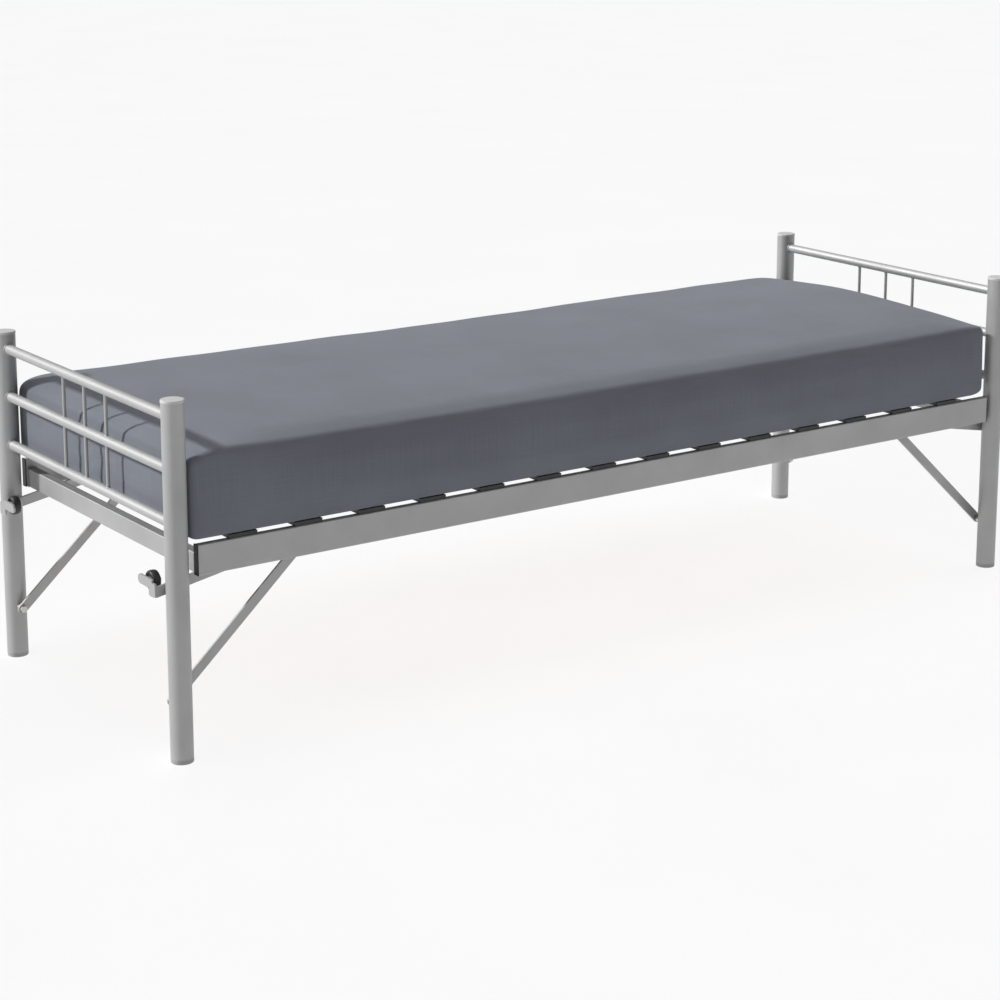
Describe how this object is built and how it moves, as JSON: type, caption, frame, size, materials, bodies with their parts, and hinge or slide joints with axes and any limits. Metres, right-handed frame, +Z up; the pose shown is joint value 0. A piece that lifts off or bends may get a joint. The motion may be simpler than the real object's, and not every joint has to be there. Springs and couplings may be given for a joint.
{
  "type": "folding metal bed frame",
  "caption": "Single steel bed with round-post end frames that fold under a slatted base, diagonal braces, rollers and a loose mattress.",
  "frame": {"origin": "on the floor, under the middle of the bed", "axes": "+X along the bed towards the head end, +Y across it, +Z up"},
  "size_m": [2.128, 0.7582, 0.675],
  "materials": {
    "powder_coat": "satin silver-grey powder coat",
    "cap_plastic": "moulded grey cap",
    "glide_plastic": "moulded grey glide",
    "black_plastic": "moulded black plug",
    "dark_plastic": "moulded dark grey clip",
    "beech_slat": "layered beech with a clear coat",
    "roller_rubber": "moulded black rubber",
    "zinc_steel": "zinc plated",
    "mattress_cover": "fine woven blue-grey cover"
  },
  "bodies": {
    "base_frame": {"near_side_rail": "powder_coat", "far_side_rail": "powder_coat", "foot_end_rail": "powder_coat", "head_end_rail": "powder_coat", "near_slat_holders": "dark_plastic", "far_slat_holders": "dark_plastic", "rail_end_plugs": "black_plastic", "slat_01": "beech_slat", "slat_02": "beech_slat", "slat_03": "beech_slat", "slat_04": "beech_slat", "slat_05": "beech_slat", "slat_06": "beech_slat", "slat_07": "beech_slat", "slat_08": "beech_slat", "slat_09": "beech_slat", "slat_10": "beech_slat", "slat_11": "beech_slat", "slat_12": "beech_slat", "slat_13": "beech_slat", "slat_14": "beech_slat", "foot_near_arm": "powder_coat", "foot_far_arm": "powder_coat", "head_near_arm": "powder_coat", "head_far_arm": "powder_coat", "foot_brace_catches": "powder_coat", "head_brace_catches": "powder_coat", "arm_spacers": "powder_coat", "roller_plates": "powder_coat", "roller_axles": "zinc_steel"},
    "foot_end": {"foot_near_post": "powder_coat", "foot_far_post": "powder_coat", "foot_top_bar": "powder_coat", "foot_middle_bar": "powder_coat", "foot_lower_bar": "powder_coat", "foot_rods": "powder_coat", "foot_post_caps": "cap_plastic", "foot_glides": "glide_plastic", "foot_fold_pins": "zinc_steel", "foot_brace_bolts": "zinc_steel"},
    "foot_braces": {"foot_near_brace": "powder_coat", "foot_far_brace": "powder_coat"},
    "foot_near_wheel": {"foot_near_roller": "roller_rubber"},
    "foot_far_wheel": {"foot_far_roller": "roller_rubber"},
    "head_end": {"head_near_post": "powder_coat", "head_far_post": "powder_coat", "head_top_bar": "powder_coat", "head_middle_bar": "powder_coat", "head_lower_bar": "powder_coat", "head_rods": "powder_coat", "head_post_caps": "cap_plastic", "head_glides": "glide_plastic", "head_fold_pins": "zinc_steel", "head_brace_bolts": "zinc_steel"},
    "head_braces": {"head_near_brace": "powder_coat", "head_far_brace": "powder_coat"},
    "head_near_wheel": {"head_near_roller": "roller_rubber"},
    "head_far_wheel": {"head_far_roller": "roller_rubber"},
    "mattress_pad": {"mattress": "mattress_cover"}
  },
  "joints": [
    {"name": "foot_end_fold", "type": "hinge", "parent": "base_frame", "child": "foot_end", "pos_m": [-1.03, 0, 0.325], "axis": [0, -1, 0], "range_deg": [0, 90]},
    {"name": "foot_brace_swing", "type": "hinge", "parent": "foot_end", "child": "foot_braces", "pos_m": [-1.03, 0, 0.106], "axis": [0, -1, 0], "range_deg": [-129, 0]},
    {"name": "foot_near_roller_spin", "type": "hinge", "parent": "base_frame", "child": "foot_near_wheel", "pos_m": [-1.049, -0.3005, 0.332], "axis": [-1, 0, 0], "continuous": true},
    {"name": "foot_far_roller_spin", "type": "hinge", "parent": "base_frame", "child": "foot_far_wheel", "pos_m": [-1.049, 0.3005, 0.332], "axis": [-1, 0, 0], "continuous": true},
    {"name": "head_end_fold", "type": "hinge", "parent": "base_frame", "child": "head_end", "pos_m": [1.03, 0, 0.325], "axis": [0, 1, 0], "range_deg": [0, 90]},
    {"name": "head_brace_swing", "type": "hinge", "parent": "head_end", "child": "head_braces", "pos_m": [1.03, 0, 0.106], "axis": [0, 1, 0], "range_deg": [-129, 0]},
    {"name": "head_near_roller_spin", "type": "hinge", "parent": "base_frame", "child": "head_near_wheel", "pos_m": [1.049, -0.3005, 0.332], "axis": [1, 0, 0], "continuous": true},
    {"name": "head_far_roller_spin", "type": "hinge", "parent": "base_frame", "child": "head_far_wheel", "pos_m": [1.049, 0.3005, 0.332], "axis": [1, 0, 0], "continuous": true},
    {"name": "mattress_lift", "type": "slide", "parent": "base_frame", "child": "mattress_pad", "axis": [0, 0, 1], "range_m": [0, 0.3]}
  ],
  "couplings": [
    {"joint": "foot_brace_swing", "follows": "foot_end_fold", "ratio": -1.4273},
    {"joint": "head_brace_swing", "follows": "head_end_fold", "ratio": -1.4273}
  ]
}
